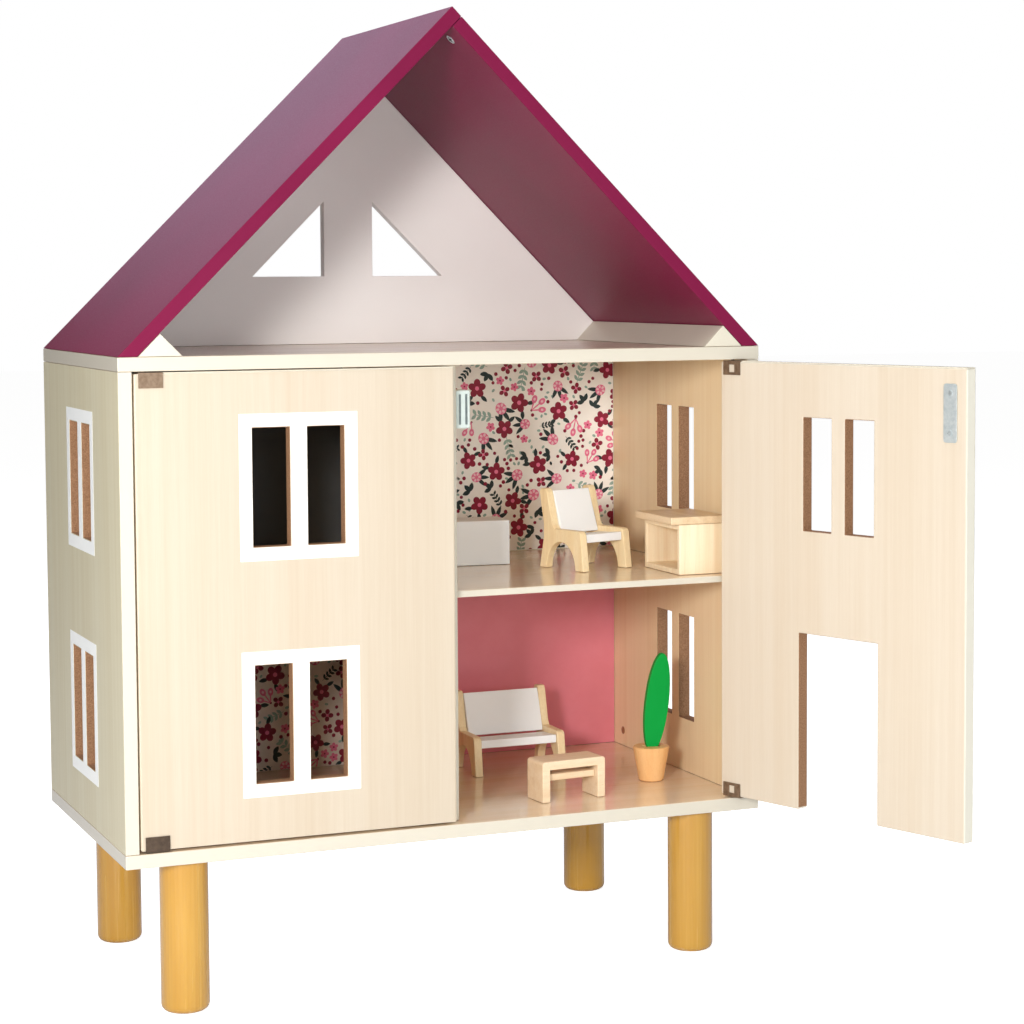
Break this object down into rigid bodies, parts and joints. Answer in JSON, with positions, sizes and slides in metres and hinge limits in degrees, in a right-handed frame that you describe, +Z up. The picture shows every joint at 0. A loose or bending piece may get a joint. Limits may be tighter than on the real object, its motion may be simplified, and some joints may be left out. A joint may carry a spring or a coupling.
{
  "type": "dollhouse",
  "caption": "Wooden dollhouse on round legs: gabled plum roof with open attic, hinged front doors with window cut-outs, rooms on two floors and toy furniture.",
  "frame": {"origin": "on the floor, in the middle of the rest pose's bounding box, which takes in the open right door; the middle of the house's own footprint is at X -0.0361, Y 0.1276", "axes": "+Z up, +X to the house's right as seen from the front, +Y from the doors to the back panel"},
  "size_m": [0.6722, 0.5592, 0.8648],
  "materials": {
    "maple_veneer": "satin lacquered maple-look veneer, fine upright grain",
    "ivory_board": "ivory satin lacquer",
    "plum_paint": "plum satin paint on board",
    "pale_grey_paint": "pale warm grey satin paint on board",
    "mustard_paint": "mustard satin paint on turned wood",
    "natural_beech": "natural wood, matt lacquer",
    "white_paint": "white satin paint on plywood",
    "green_paint": "green satin paint on plywood",
    "terracotta_stain": "light terracotta stain on turned wood",
    "bronzed_steel": "bronzed steel strip",
    "zinc_plated_steel": "zinc plated",
    "white_nylon": "moulded nylon",
    "black_ferrite": "sintered ferrite magnet"
  },
  "bodies": {
    "house": {"attic_gable": "pale_grey_paint", "back_left_leg": "mustard_paint", "back_left_leg_insert": "zinc_plated_steel", "back_left_leg_stud": "zinc_plated_steel", "back_panel": "maple_veneer", "back_ridge_bolt": "zinc_plated_steel", "back_ridge_cam": "zinc_plated_steel", "back_right_leg": "mustard_paint", "back_right_leg_insert": "zinc_plated_steel", "back_right_leg_stud": "zinc_plated_steel", "bottom_board": "ivory_board", "centre_divider": "maple_veneer", "front_left_leg": "mustard_paint", "front_left_leg_insert": "zinc_plated_steel", "front_left_leg_stud": "zinc_plated_steel", "front_ridge_bolt": "zinc_plated_steel", "front_ridge_cam": "zinc_plated_steel", "front_right_leg": "mustard_paint", "front_right_leg_insert": "zinc_plated_steel", "front_right_leg_stud": "zinc_plated_steel", "left_catch_body": "white_nylon", "left_catch_magnet": "black_ferrite", "left_door_bottom_bush": "white_nylon", "left_door_top_bush": "white_nylon", "left_eave_strip": "ivory_board", "left_roof_panel": "plum_paint", "left_shelf": "maple_veneer", "left_wall": "maple_veneer", "right_catch_body": "white_nylon", "right_catch_magnet": "black_ferrite", "right_door_bottom_bush": "white_nylon", "right_door_top_bush": "white_nylon", "right_eave_strip": "ivory_board", "right_roof_panel": "plum_paint", "right_shelf": "maple_veneer", "right_wall": "maple_veneer", "top_board": "ivory_board"},
    "left_door": {"left_door": "maple_veneer", "left_door_bottom_clip": "bronzed_steel", "left_door_top_clip": "bronzed_steel", "left_strike_plate": "zinc_plated_steel"},
    "right_door": {"right_door": "maple_veneer", "right_door_bottom_clip": "bronzed_steel", "right_door_top_clip": "bronzed_steel", "right_strike_plate": "zinc_plated_steel"},
    "armchair": {"armchair_back": "white_paint", "armchair_left_side": "natural_beech", "armchair_right_side": "natural_beech", "armchair_seat": "white_paint"},
    "sofa": {"sofa_back": "white_paint", "sofa_left_side": "natural_beech", "sofa_right_side": "natural_beech", "sofa_seat": "white_paint"},
    "coffee_table": {"coffee_table_frame": "natural_beech", "coffee_table_shelf": "natural_beech"},
    "desk": {"desk_cabinet": "natural_beech", "desk_top": "natural_beech"},
    "low_cabinet": {"low_cabinet": "white_paint"},
    "plant": {"plant_leaf": "green_paint", "plant_pot": "terracotta_stain"}
  },
  "joints": [
    {"name": "left_door_hinge", "type": "hinge", "parent": "house", "child": "left_door", "pos_m": [-0.3131, -0.017, 0.349], "axis": [0, 0, 1], "range_deg": [-110, 0]},
    {"name": "right_door_hinge", "type": "hinge", "parent": "house", "child": "right_door", "pos_m": [0.2409, -0.017, 0.349], "axis": [0, 0, 1], "range_deg": [-109, 1]},
    {"name": "armchair_slide", "type": "slide", "parent": "house", "child": "armchair", "axis": [0, 1, 0], "range_m": [-0.06, 0.09]},
    {"name": "sofa_slide", "type": "slide", "parent": "house", "child": "sofa", "axis": [0, 1, 0], "range_m": [-0.06, 0.04]},
    {"name": "coffee_table_slide", "type": "slide", "parent": "house", "child": "coffee_table", "axis": [0, 1, 0], "range_m": [-0.02, 0.03]},
    {"name": "desk_slide", "type": "slide", "parent": "house", "child": "desk", "axis": [0, 1, 0], "range_m": [-0.012, 0.16]},
    {"name": "low_cabinet_slide", "type": "slide", "parent": "house", "child": "low_cabinet", "axis": [0, 1, 0], "range_m": [-0.14, 0.05]},
    {"name": "plant_slide", "type": "slide", "parent": "house", "child": "plant", "axis": [0, 1, 0], "range_m": [-0.06, 0.15]}
  ]
}
